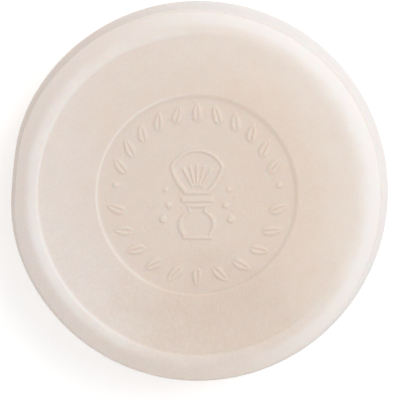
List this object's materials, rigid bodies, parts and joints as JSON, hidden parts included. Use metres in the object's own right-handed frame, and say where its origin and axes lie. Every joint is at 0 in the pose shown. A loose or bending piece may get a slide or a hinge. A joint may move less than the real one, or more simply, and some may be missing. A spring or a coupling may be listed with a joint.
{
  "type": "shaving soap puck",
  "caption": "Round pressed puck of hard shaving soap with a rolled rim, a flat face and a sunk medallion holding a raised shaving brush and a wreath of leaves.",
  "frame": {"origin": "middle of the flat resting face, at the bottom of the puck", "axes": "+Z out of the stamped face, +Y towards the bristles of the stamped brush, +X to its right"},
  "size_m": [0.062, 0.062, 0.021],
  "materials": {
    "soap": "waxy, semi-matte"
  },
  "bodies": {
    "root": {"soap_puck": "soap"}
  },
  "joints": []
}
